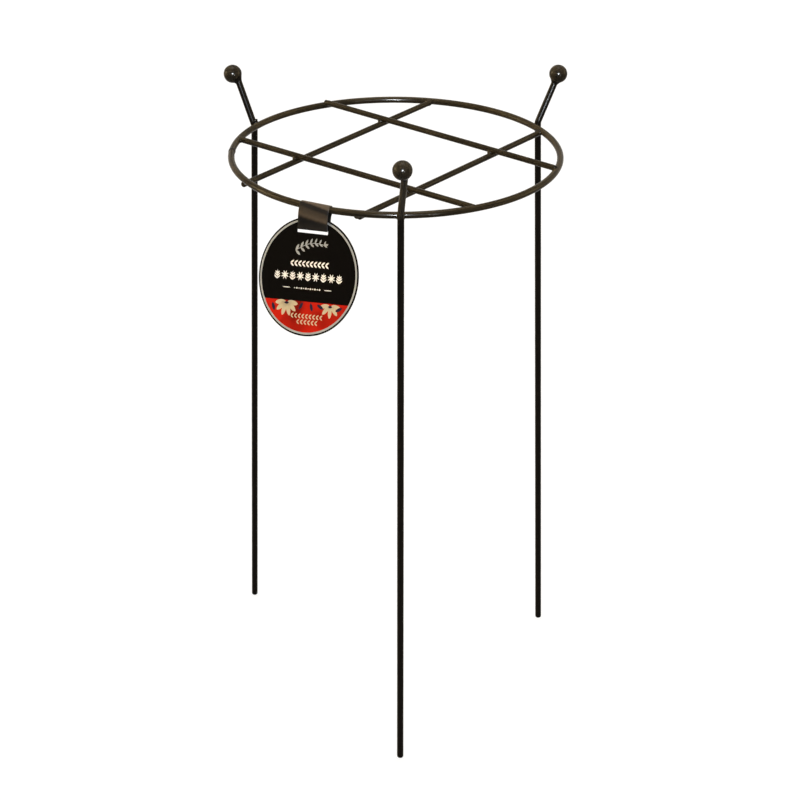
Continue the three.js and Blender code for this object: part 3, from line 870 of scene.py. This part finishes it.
class PLANT_OT_welds(bpy.types.Operator):
    """Lay the weld beads: the ring's seam, the wires' ends and crossings, the legs and the balls' necks"""

    bl_idname = "plant_support.welds"
    bl_label = "Weld beads"

    def execute(self, context):
        settings = context.scene.plant_support.welds
        bars = context.scene.plant_support.bars
        self.settings = settings
        self.made = 0
        # The seam, leg and neck beads take the legs' darkened bronze, which is painted shade.
        self.material = weld_coat("Dark weld coat", bars.shaded_leg_bronze, settings, bars)
        self.weld_seam(ring_bar_radius + bars.coat)
        self.weld_legs()
        self.material = weld_coat("Bronze weld coat", bars.wire_bronze, settings, bars)
        self.weld_wires()
        return {"FINISHED"}

    def add(self, node, heart, fields, reach, toe_share=1.0, fillet=None):
        """A bead in the place of its node, each with a seed of its own."""
        self.made += 1
        fillet = fillet or self.settings.fillet
        mesh = weld_mesh(heart, fields, reach, self.settings, self.made, toe_share, fillet)
        add_coated(node, mesh, weld_slot, self.material)

    def weld_seam(self, coated_radius):
        """A low collar where the ring's ends meet."""
        seam = "ring_seam_weld"
        rise, half_length = 0.3 * mm, 3.1 * mm
        heart = on_ring(azimuth_of(middle_of(seam)))
        collar = to_collar(heart, coated_radius + rise, half_length)
        self.add(seam, heart, [collar], reach=5 * mm, toe_share=0.0)

    def weld_legs(self):
        """A bead between the ring and each leg, and a fillet between each arm and its ball."""
        sag, neck_share = 3 * mm, 0.95
        for side in leg_sides:
            (foot, top, radius), (low, high, _) = leg_runs[side]
            level = foot.lerp(top, (ring_middle.z - foot.z) / (top.z - foot.z))
            heart = (level + on_ring(azimuth_of(level))) / 2
            node = f"leg_weld_{side}"
            lump = to_lump(node, share=0.7, corner=heart - up * sag, drawn_in=0.7)
            self.add(node, heart, [to_ring, to_bar(foot, top, radius), lump], reach=5.6 * mm)
            fields = [to_ball(side), to_bar(low, high, radius)]
            heart = on_arm(side, ball_radius * neck_share)
            self.add(f"neck_weld_{side}", heart, fields, reach=7.5 * mm, fillet=self.settings.neck_fillet)

    def weld_wires(self):
        """The beads where upper wires butt on the ring, lower ones pass under it, and wires cross."""
        for side in upper_wires:
            for end in ("left", "right"):
                node = f"end_weld_{side}_{end}"
                bead = on_wire(side, node)
                lump = to_lump(node, share=0.7, corner=on_ring(azimuth_of(bead)), drawn_in=0.4)
                fields = [to_ring, to_bar(*wire_runs[side]), lump]
                self.add(node, bead, fields, reach=4.6 * mm, toe_share=0.7)
        for side in lower_wires:
            wire = to_bar(*wire_runs[side])
            back, front = f"end_weld_{side}_back", f"end_weld_{side}_front"
            fields = [to_ring, wire, to_lump(back, share=0.78)]
            self.add(back, on_wire(side, back), fields, reach=4.8 * mm)
            bead = on_wire(side, front)
            heart = (bead + on_ring(azimuth_of(bead))) / 2
            fields = [to_ring, wire, to_lump(front, share=0.5)]
            self.add(front, heart, fields, reach=3.5 * mm, toe_share=0.3)
            for upper in upper_wires:
                node = f"crossing_weld_{upper.split('_')[1]}_{side.split('_')[1]}"
                a, b = intersect_line_line(*wire_runs[upper][:2], *wire_runs[side][:2])
                crossing = (a + b) / 2
                lump = to_lump(node, share=0.64, corner=crossing, drawn_in=0.42)
                fields = [to_bar(*wire_runs[upper]), wire, lump]
                self.add(node, crossing, fields, reach=5.2 * mm, toe_share=0.6)


# The swing tag's finishes and shapes


def tag_frames(settings):
    """The frames of the strap's loop and of the disc, each with X along the card and Z up it."""
    along = Vector(swing["axis"]).normalized()
    inward = up.cross(along)
    hanging = Matrix((along, inward, up)).transposed().to_4x4()
    base = Matrix.Translation(Vector(swing["pos_m"])) @ hanging
    lean = Matrix.Rotation(-settings.lean, 4, "X")
    roll = Matrix.Rotation(-settings.roll, 4, "Y")
    twist = Matrix.Rotation(settings.twist, 4, "Z")
    return base @ lean, base @ twist @ lean @ roll


def card_finish(name, colour, roughness, ior, second=None, share_of=None):
    """Satin printed card with a faint mottle, its colour going over to a second where share_of says."""
    material, tree, shader = new_finish(name)
    skin = tree.skin()
    mottle = tree.cloud(skin, scale=260.0, detail=3.0, roughness=0.6)
    grain = tree.cloud(skin, scale=2600.0, detail=2.0, roughness=0.5)
    darker, painted_light_coat = 0.85, 1.15
    shade = tree.mix(mottle, [c * darker for c in colour], [min(c * painted_light_coat, 1) for c in colour])
    if share_of:
        shade = tree.mix(share_of(tree, skin), shade, second)
    tree.join(shader, {
        "Base Color": shade,
        "Roughness": roughness + (mottle - 0.5) * 0.12,
        "Normal": tree.bump(grain, strength=0.2, depth=0.01 * mm),
        "IOR": ior,
    })
    return material


def painted_strap_light(tree, skin):
    """Painted light and shade on the strap, given as how black it is: black behind the ring, below it in
    front and at the slot, brown where it is painted lit between.
    """
    shown_length, light_slant, edge_unevenness, top_place = 40.0, 2.6, 1.4, 0.25
    way, across = tree.kept("strap_way"), tree.kept("strap_across")
    uneven_edge_noise = tree.cloud(skin, scale=320.0, detail=3.0, roughness=0.6)
    # The bands along the strap are painted sheen and shade. They slant across it as if lit from one side,
    # and noise makes their edges uneven.
    place = (way - across * light_slant + (uneven_edge_noise - 0.5) * edge_unevenness) / shown_length + top_place
    return tree.ramp(
        place, (0.16, 0.97), (0.22, 0.15), (0.35, 0.06), (0.40, 0.90), (0.465, 0.88), (0.53, 0.50),
        (0.6, 0.30), (0.68, 0.02), (0.71, 0.13), (0.76, 0.78), (0.79, 0.96),
    )


def band_shade(tree, skin):
    """Soft dark folds printed into the band's red ground."""
    folds = tree.cloud(skin, scale=32.0, detail=1.0, roughness=0.4, distortion=0.4)
    return tree.ramp(folds, (0.42, 0.0), (0.62, 0.85))


def flat_plate(outlines, thickness, rounding=0.0):
    """A closed plate in the XY plane, cut from outlines of (x, y) that may lie inside each other."""
    merge_distance = 0.0005 * mm
    curve = bpy.data.curves.new("plate", "CURVE")
    curve.dimensions = "2D"
    curve.fill_mode = "BOTH"
    curve.extrude = thickness / 2 - rounding
    curve.bevel_depth = rounding
    curve.bevel_resolution = 2
    curve.offset = -rounding
    for outline in outlines:
        spline = curve.splines.new("POLY")
        spline.points.add(len(outline) - 1)
        spline.points.foreach_set("co", [value for x, y in outline for value in (x, y, 0, 1)])
        spline.use_cyclic_u = True
    holder = place_object("plate", curve)
    mesh = plain_mesh(holder)
    bpy.data.objects.remove(holder)
    bpy.data.curves.remove(curve)
    shape = bmesh.new()
    shape.from_mesh(mesh)
    bmesh.ops.remove_doubles(shape, verts=shape.verts, dist=merge_distance)
    bmesh.ops.recalc_face_normals(shape, faces=shape.faces)
    shape.to_mesh(mesh)
    shape.free()
    mesh.shade_flat()
    return mesh


def arc(radius, start, sweep, steps, middle=(0, 0)):
    """Points of (x, y) round a middle, from a start angle through a sweep."""
    angles = [start + sweep * i / steps for i in range(steps + 1)]
    x, y = middle
    return [(x + radius * math.cos(angle), y + radius * math.sin(angle)) for angle in angles]


def circle_outline(radius):
    """A whole circle."""
    steps = 240
    return arc(radius, 0, turn, steps)[:-1]


def slot_outline(settings):
    """The slot, with rounded corners."""
    corner, steps = 0.5 * mm, 4
    x = settings.slot_width / 2 - corner
    low = settings.slot_rise - settings.slot_height / 2 + corner
    high = settings.slot_rise + settings.slot_height / 2 - corner
    outline = []
    for quarter, middle in enumerate(((x, high), (-x, high), (-x, low), (x, low))):
        outline += arc(corner, turn / 4 * quarter, turn / 4, steps, middle)
    return outline


def band_outline(settings, radius):
    """The part of a circle that lies below the band's upper edge."""
    steps = 90
    start = math.pi - math.asin(settings.band_level / radius)
    sweep = math.pi - 2 * math.asin(-settings.band_level / radius)
    return arc(radius, start, sweep, steps)


def sway(start, end, steps):
    """Places on a smooth bend between two places, leaving and arriving along the disc's plane."""
    above, width = 1, 4
    places = []
    for i in range(1, steps):
        share = i / steps
        ease = share * share * (3 - 2 * share)
        shares = [share if index in (above, width) else ease for index in range(len(start))]
        places.append(tuple(a + (b - a) * part for a, b, part in zip(start, end, shares)))
    return places


def strap_section(width, half):
    """Points of (across, off) round the strap's section, which has rounded edges."""
    edge_steps, flat_steps = 6, 8
    flat = width / 2 - half
    section = []
    for end in (1, -1):
        section += [(end * (flat + x), end * y) for x, y in arc(half, -turn / 4, turn / 2, edge_steps)]
        section += [(end * flat * (1 - 2 * k / flat_steps), end * half) for k in range(1, flat_steps)]
    return section


# The swing tag's print, in millimetres and degrees


def motif_growth():
    """Flat motifs on the carrier's points, from pointed leaves to ovals as the taper goes to 0."""
    tree, given = new_growth("Printed motifs", {"Sides": 20, "Taper": 0.6, "Thickness": 0.08 * mm})
    blank = tree.node(
        "GeometryNodeMeshCylinder", {"fill_type": "NGON"},
        {"Vertices": given["Sides"], "Radius": 1.0, "Depth": 1.0},
    )
    across, along, depth = tree.parts(tree.node("GeometryNodeInputPosition"))
    narrowed = across * across.maths("ABSOLUTE", across) ** given["Taper"]
    outline = tree.node("ShaderNodeCombineXYZ", None, {"X": narrowed, "Y": along, "Z": depth})
    shaped = tree.node("GeometryNodeSetPosition", None, {"Geometry": blank, "Position": outline})
    angle, length, width = (tree.read(name) for name in ("motif_angle", "motif_length", "motif_width"))
    size = {"X": width * 0.5, "Y": length * 0.5, "Z": given["Thickness"]}
    motifs = tree.node("GeometryNodeInstanceOnPoints", None, {
        "Points": given["Geometry"],
        "Instance": shaped,
        "Rotation": tree.node("ShaderNodeCombineXYZ", None, {"Z": angle}),
        "Scale": tree.node("ShaderNodeCombineXYZ", None, size),
    })
    return close_growth(tree, motifs, given["Material"])


def stem_growth():
    """A flat printed line along the carrier's edges."""
    tree, given = new_growth("Printed stem", {"Width": 0.8 * mm, "Thickness": 0.08 * mm})
    path = tree.node("GeometryNodeMeshToCurve", None, {"Mesh": given["Geometry"]})
    path = tree.node("GeometryNodeSetCurveNormal", {"mode": "Z_UP"}, {"Curve": path})
    size = {"Width": given["Width"], "Height": given["Thickness"]}
    section = tree.node("GeometryNodeCurvePrimitiveQuadrilateral", None, size)
    sockets = {"Curve": path, "Profile Curve": section, "Fill Caps": True}
    stem = tree.node("GeometryNodeCurveToMesh", None, sockets)
    return close_growth(tree, stem, given["Material"])


def motif_points(motifs):
    """A carrier of points for motifs of (x, y, angle, length, width)."""
    mesh = bpy.data.meshes.new("motifs")
    mesh.from_pydata([(x * mm, y * mm, 0) for x, y, *_ in motifs], [], [])
    _, _, angles, lengths, widths = zip(*motifs)
    keep_values(mesh, "motif_angle", [math.radians(angle) for angle in angles])
    keep_values(mesh, "motif_length", [length * mm for length in lengths])
    keep_values(mesh, "motif_width", [width * mm for width in widths])
    return mesh


def leaf(x, y, angle, length, width):
    """A leaf that starts at a point and grows upwards, turned to the left by an angle."""
    reach = math.radians(angle)
    return (x - math.sin(reach) * length / 2, y + math.cos(reach) * length / 2, angle, length, width)


def row(count, pitch, middle=0.0):
    """Places along a row about a middle."""
    return [middle + pitch * (i - (count - 1) / 2) for i in range(count)]


leaf_slimness = 0.36


def sprig():
    """A spray of leaves on a bent stem: its leaves and its stem's points."""
    start_x, start_y, length, rise, bow = -17, 25, 33, 7, 4
    first_size, shrinkage = 7.0, 2.6
    steps = 12
    motifs = []
    stem = []
    for i in range(steps + 1):
        share = i / steps
        x, y = start_x + length * share, start_y + rise * share + bow * math.sin(share * math.pi)
        stem.append((x, y))
        if i % 2 == 0:
            size = first_size - shrinkage * share
            for angle in (-28 + 6 * share, -128 + 10 * share):
                motifs.append(leaf(x, y, angle, size, size * leaf_slimness))
    motifs.append(leaf(*stem[-1], angle=-80, length=5, width=1.9))
    return motifs, stem


def laurel(count, pitch, level, size, middle):
    """A row of small leaf pairs that all point to the right."""
    places = row(count, pitch, middle)
    return [leaf(x, level, angle, size, size * leaf_slimness) for x in places for angle in (-52, -128)]


def garland():
    """A row of daisies and of seedlings with three pairs of leaves."""
    level, petals = -0.2, 8
    motifs = []
    for i, x in enumerate(row(count=9, pitch=9.2)):
        if i % 2:
            motifs += [leaf(x, level, 360 / petals * (k + 0.5), 4.5, 1.25) for k in range(petals)]
        else:
            motifs.append((x, level, 0, 9.4, 1.0))
            for rise, length in ((-4.2, 4.8), (-1.6, 4.2), (0.8, 3.4)):
                motifs += [leaf(x, level + rise, angle, length, 1.5) for angle in (-48, 48)]
    return motifs


def dots_and_dashes():
    """A row of small and larger dots between two dashes."""
    level = -12.2
    sizes = (1.2, 1.8)
    dots = [(x, level, 0, sizes[i % 2], sizes[i % 2]) for i, x in enumerate(row(count=12, pitch=2.7))]
    return dots + [(x, level, 90, 9.0, 0.8) for x in (-24.5, 24.5)]


def band_blossoms():
    """Half blossoms that hang from the band's upper edge."""
    first, sweep, spread, petal_slimness = 98, 164, 1.2, 0.34
    motifs = []
    for x, y, size, petals in ((-23, -26.5, 14.5, 6), (29, -27, 12.5, 5)):
        for i in range(petals):
            angle = first + sweep * i / (petals - 1)
            side, fall = math.sin(math.radians(angle)), abs(math.cos(math.radians(angle)))
            length = size * (0.82 + 0.18 * fall)
            motifs.append(leaf(x - spread * side, y, angle, length, size * petal_slimness))
    return motifs


def band_leaves():
    """Dark leaves beside the blossoms, and the blossoms' dark hearts."""
    places = ((-40, -28.5, -158), (-3.5, -26, 150), (5.5, -26, -162), (43, -28, 118), (13.5, -27, -118))
    motifs = [leaf(x, y, angle, 8.5, 3.4) for x, y, angle in places]
    return motifs + [(-23, -27.6, 90, 5.4, 2.6), (29, -28, 90, 4.8, 2.4)]


class PLANT_OT_tag(bpy.types.Operator):
    """Cut the tag's disc, fold its strap and print the disc"""

    bl_idname = "plant_support.tag"
    bl_label = "Swing tag"

    def execute(self, context):
        self.settings = context.scene.plant_support.tag
        self.loop_frame, self.disc_frame = tag_frames(self.settings)
        self.cut_disc()
        self.fold_strap()
        self.print_disc()
        return {"FINISHED"}

    def on_disc(self, height):
        """Takes a plate from the XY plane to the disc, height being how far it lies before its middle."""
        settings = self.settings
        middle = Vector((settings.aside, settings.setback - height, -settings.hang))
        return self.disc_frame @ Matrix.Translation(middle) @ Matrix.Rotation(turn / 4, 4, "X")

    def cut_disc(self):
        """The disc with its slot, black in front and at its edges and brown behind."""
        settings = self.settings
        edge_rounding = 0.15 * mm
        outlines = [circle_outline(settings.radius), slot_outline(settings)]
        mesh = flat_plate(outlines, settings.thickness, edge_rounding)
        mesh.materials.append(card_finish("Black printed card", settings.black, roughness=0.38, ior=1.05))
        mesh.materials.append(card_finish("Brown card", settings.brown, roughness=0.45, ior=1.2))
        for face in mesh.polygons:
            face.material_index = 1 if face.normal.z < -0.5 else 0
        mesh.transform(self.on_disc(0))
        add_piece("tag_card", mesh, tag_body, card_slot, "swing_tag")

    def fold_strap(self):
        """The strap runs up behind the ring, over it, and down in front to the slot."""
        settings = self.settings
        half = settings.strap_thickness / 2
        ease_steps, loop_steps, tuck_steps = 12, 24, 6
        root_aside, root_overlap, tuck_radius, tuck_length = -0.7 * mm, 7 * mm, 1 * mm, 2.2 * mm
        sagitta = ring_radius - math.sqrt(ring_radius ** 2 - (settings.loop_width / 2) ** 2)
        loop_radius = ring_bar_radius + sagitta / 2 + settings.loop_clearance + half
        disc_top = settings.radius - settings.hang
        neck = (-settings.setback, disc_top, root_aside, 1.0, settings.root_width)
        root = (-settings.setback, disc_top - root_overlap, root_aside, 1.0, settings.root_width)
        over_bar = arc(loop_radius, turn / 2, -turn / 2, loop_steps)
        loop = [(*place, 0.0, 0.0, settings.loop_width) for place in over_bar]
        slot_top = settings.slot_rise + settings.slot_height / 2
        level = slot_top - settings.clearance - half - settings.hang
        face = settings.thickness / 2 + settings.clearance + half - settings.setback
        into_slot = arc(tuck_radius, 0, -turn / 4, tuck_steps, (face - tuck_radius, level + tuck_radius))
        tuck = [(*place, settings.aside, 1.0, settings.end_width) for place in into_slot]
        end = (-settings.setback - settings.thickness / 2 - tuck_length, *tuck[-1][1:])
        places = [root, neck, *sway(neck, loop[0], ease_steps), *loop]
        top = len(places) - 1 - loop_steps // 2
        places += [*sway(loop[-1], tuck[0], ease_steps), *tuck, end]
        mesh = self.ribbon(places, top, half)
        # The strap's brown and black follow painted sheen and shade along it.
        material = card_finish(
            "Strap card with painted light and shade", settings.brown, roughness=0.42, ior=1.12,
            second=settings.black, share_of=painted_strap_light,
        )
        add_piece("tag_strap", mesh, tag_body, card_slot, "swing_tag", material=material)

    def ribbon(self, places, top, half):
        """A band through places of (front, above, aside, twist, width), top being the highest one's number.

        Twist is 0 in the loop's frame and 1 in the disc's. Each point keeps its way along the band from
        the top, in millimetres, and how far across the band it lies, from -1 to 1.
        """
        turned = [card_frame.to_quaternion() for card_frame in (self.loop_frame, self.disc_frame)]
        pivot = self.loop_frame.to_translation()
        points, ways, shares = [], [], []
        travelled = [0.0]
        for (front, above, *_), (next_front, next_above, *_) in zip(places, places[1:]):
            travelled.append(travelled[-1] + math.hypot(next_front - front, next_above - above))
        for i, (front, above, aside, twist, width) in enumerate(places):
            before, after = places[max(i - 1, 0)], places[min(i + 1, len(places) - 1)]
            run = Vector((after[0] - before[0], after[1] - before[1])).normalized()
            turning = turned[0].slerp(turned[1], twist)
            section = strap_section(width, half)
            for across, off in section:
                local = Vector((aside + across, -(front - run.y * off), above + run.x * off))
                points.append(pivot + turning @ local)
                ways.append((travelled[i] - travelled[top]) / mm)
                shares.append(across / (width / 2))
        count = len(section)
        last = len(points) - count
        faces = [list(range(count))[::-1]]
        for first in range(0, last, count):
            for k in range(count):
                a, b = first + k, first + (k + 1) % count
                faces.append((a, b, b + count, a + count))
        faces.append([last + k for k in range(count)])
        mesh = mesh_of(points, faces)
        keep_values(mesh, "strap_way", ways)
        keep_values(mesh, "strap_across", shares)
        return mesh

    def print_disc(self):
        """The print: thin plates, leaves and dots, the ones that lie over others standing higher."""
        settings = self.settings
        rim_out, rim_in, ground_out = 57.5 * mm, 55.6 * mm, 55.7 * mm
        roughness, ior, fold = 0.4, 1.06, 0.28
        white, silver, cream, navy = (
            card_finish(f"{name.capitalize()} print", getattr(settings, name), roughness, ior)
            for name in ("white", "silver", "cream", "navy")
        )
        red = card_finish(
            "Red print", settings.red, roughness, ior, [c * fold for c in settings.red], band_shade
        )
        rim = flat_plate([circle_outline(rim_out), circle_outline(rim_in)], 2 * settings.print_height)
        ground = flat_plate([band_outline(settings, ground_out)], 2 * settings.print_height)
        leaves, stem = sprig()
        garlands = garland() + laurel(count=10, pitch=4.6, level=12.2, size=4.8, middle=-1.2)
        band_rows = laurel(count=9, pitch=4.3, level=-39.6, size=3.9, middle=0.4)
        band_rows += laurel(count=6, pitch=4.3, level=-45.4, size=3.9, middle=1.4)
        for name, mesh, material, layer in (
            ("tag_rim_line", rim, silver, 1),
            ("tag_band", ground, red, 0.9),
            ("tag_sprig", self.motifs(leaves, taper=0.6), silver, 1),
            ("tag_sprig_stem", self.stem(stem, width=0.6), silver, 1.1),
            ("tag_garland", self.motifs(garlands, taper=0.4), white, 1),
            ("tag_dots", self.motifs(dots_and_dashes(), taper=0.0), white, 1),
            ("tag_band_rows", self.motifs(band_rows, taper=0.5), cream, 1.3),
            ("tag_band_blossoms", self.motifs(band_blossoms(), taper=0.2), cream, 1.5),
            ("tag_band_leaves", self.motifs(band_leaves(), taper=0.5), navy, 1.7),
        ):
            self.stick(name, mesh, material, layer)

    def motifs(self, motifs, taper):
        """A mesh of flat motifs."""
        growth = bpy.data.node_groups.get("Printed motifs") or motif_growth()
        inputs = {"Taper": taper, "Thickness": 2 * self.settings.print_height}
        return grow(motif_points(motifs), growth, inputs)

    def stem(self, points, width):
        """A mesh of a flat line through points."""
        growth = bpy.data.node_groups.get("Printed stem") or stem_growth()
        path = line_mesh([(x * mm, y * mm, 0) for x, y in points])
        return grow(path, growth, {"Width": width * mm, "Thickness": 2 * self.settings.print_height})

    def stick(self, name, mesh, material, layer):
        """Sets a print on the disc's face, its upper side layer print heights over it."""
        settings = self.settings
        height = settings.thickness / 2 + (layer - 1) * settings.print_height
        mesh.transform(self.on_disc(height) @ Matrix.Rotation(settings.print_turn, 4, "Z"))
        mesh.shade_flat()
        add_piece(name, mesh, tag_body, card_slot, material=material)


# Floor, lamps and camera


class PLANT_OT_stage(bpy.types.Operator):
    """Set up the floor, the lamps, the sky and the camera"""

    bl_idname = "plant_support.stage"
    bl_label = "Stage"

    def execute(self, context):
        settings = context.scene.plant_support.stage
        self.lay_floor(settings)
        self.light_sky(context, settings)
        self.hang_lamps(settings)
        self.place_camera(context, settings)
        context.scene.view_settings.view_transform = "Standard"
        return {"FINISHED"}

    def lay_floor(self, settings):
        """A white floor, which glows where it is seen and takes shadows where it is lit."""
        half = 9.0
        mesh = bpy.data.meshes.new("floor")
        corners = [(-half, -half, 0), (half, -half, 0), (half, half, 0), (-half, half, 0)]
        mesh.from_pydata(corners, [], [(0, 1, 2, 3)])
        material, tree, shader = new_finish("White floor")
        material.node_tree.nodes.remove(shader)
        lit = tree.node("ShaderNodeBsdfDiffuse", None, {"Color": (*settings.floor_colour, 1)})
        glow = seen_share(tree) * settings.floor_glow
        seen = tree.node("ShaderNodeEmission", None, {"Color": (1, 1, 1, 1), "Strength": glow})
        both = tree.node("ShaderNodeAddShader", None, {0: lit, 1: seen})
        tree.join(material.node_tree.nodes["Material Output"], {"Surface": both})
        mesh.materials.append(material)
        floor = place_object("floor", mesh)
        floor.visible_shadow = False

    def light_sky(self, context, settings):
        """A sky that is white to the camera and in reflections, and faint as a light."""
        world = bpy.data.worlds.new("White studio")
        world.use_nodes = True
        context.scene.world = world
        tree = Tree(world.node_tree)
        strength = settings.sky + seen_share(tree) * (1 - settings.sky)
        tree.join(world.node_tree.nodes["Background"], {"Color": (1, 1, 1, 1), "Strength": strength})

    def hang_lamps(self, settings):
        """Lamps of (name, direction, width in degrees, strength). The last four show in gloss alone."""
        amber, warm, cool = (1, 0.8, 0.45), (1, 0.93, 0.82), (0.92, 0.96, 1)
        right_arm_share = 0.12
        for name, towards, spread, strength, colour in (
            ("overhead_lamp", (0, 0.2, 1), 36, settings.overhead, warm),
            ("front_lamp", (0.1, -0.87, 0.5), 40, settings.front, cool),
            ("left_lamp", (-0.98, 0.1, 0.2), 30, settings.left, amber),
            ("right_lamp", (0.97, 0.05, 0.2), 30, settings.right, amber),
        ):
            self.hang_lamp(name, towards, spread, strength, colour)
        for name, towards, spread, strength in (
            ("glint_lamp", (0.03, -0.95, 0.31), 9, settings.glint),
            ("left_arm_lamp", (0.4, -0.9, 0.074), 9, settings.sheen),
            ("right_arm_lamp", (-0.153, -0.984, 0.087), 9, settings.sheen * right_arm_share),
            ("bounce_lamp", (-0.109, -0.279, -0.954), 24, settings.bounce),
        ):
            self.hang_lamp(name, towards, spread, strength, cool).visible_diffuse = False

    def hang_lamp(self, name, towards, spread, strength, colour):
        """A far soft lamp that stands towards a direction."""
        lamp = bpy.data.lights.new(name, "SUN")
        lamp.angle = math.radians(spread)
        lamp.energy = strength
        lamp.color = colour
        holder = place_object(name, lamp)
        holder.rotation_euler = Vector(towards).to_track_quat("Z", "Y").to_euler()
        return holder

    def place_camera(self, context, settings):
        """A camera that stands before the ring and looks down on it."""
        camera = bpy.data.cameras.new("camera")
        camera.sensor_fit = "HORIZONTAL"
        camera.angle = settings.camera_view
        pitch, yaw, roll = settings.camera_pitch, settings.camera_yaw, settings.camera_roll
        right = Vector((math.cos(yaw), -math.sin(yaw), 0))
        ahead = Vector((math.sin(yaw) * math.cos(pitch), math.cos(yaw) * math.cos(pitch), -math.sin(pitch)))
        above = right.cross(ahead)
        leaning_right = right * math.cos(roll) + above * math.sin(roll)
        leaning_up = above * math.cos(roll) - right * math.sin(roll)
        turned = Matrix((leaning_right, leaning_up, -ahead)).transposed().to_4x4()
        foot = Vector((ring_middle.x, ring_middle.y, 0))
        holder = place_object("camera", camera)
        holder.matrix_world = Matrix.Translation(foot + Vector(settings.camera_place)) @ turned
        context.scene.camera = holder


def seen_share(tree):
    """1 for rays that see the background from the camera, in a reflection or through glass."""
    rays = tree.node("ShaderNodeLightPath")
    camera, glossy, through = tree.outputs(rays, "Is Camera Ray", "Is Glossy Ray", "Is Transmission Ray")
    return camera.maths("MAXIMUM", camera.maths("MAXIMUM", camera, glossy), through)


# The panel and the run


class PLANT_PT_parts(bpy.types.Panel):
    """Buttons that make the plant support's pieces"""

    bl_idname = "PLANT_PT_parts"
    bl_label = "Plant Support"
    bl_space_type = "VIEW_3D"
    bl_region_type = "UI"
    bl_category = "Plant Support"

    def draw(self, context):
        for operator in operators:
            self.layout.operator(operator.bl_idname)


operators = (
    PLANT_OT_ring,
    PLANT_OT_wires,
    PLANT_OT_legs,
    PLANT_OT_balls,
    PLANT_OT_welds,
    PLANT_OT_tag,
    PLANT_OT_stage,
)
classes = (
    BarSettings,
    WeldSettings,
    TagSettings,
    StageSettings,
    PlantSupportSettings,
    *operators,
    PLANT_PT_parts,
)


def register():
    for cls in classes:
        bpy.utils.register_class(cls)
    bpy.types.Scene.plant_support = PointerProperty(type=PlantSupportSettings)


def unregister():
    del bpy.types.Scene.plant_support
    for cls in reversed(classes):
        bpy.utils.unregister_class(cls)


def main():
    """Makes every piece in order."""
    register()
    for operator in operators:
        group, name = operator.bl_idname.split(".")
        getattr(getattr(bpy.ops, group), name)()


if __name__ == "__main__":
    main()
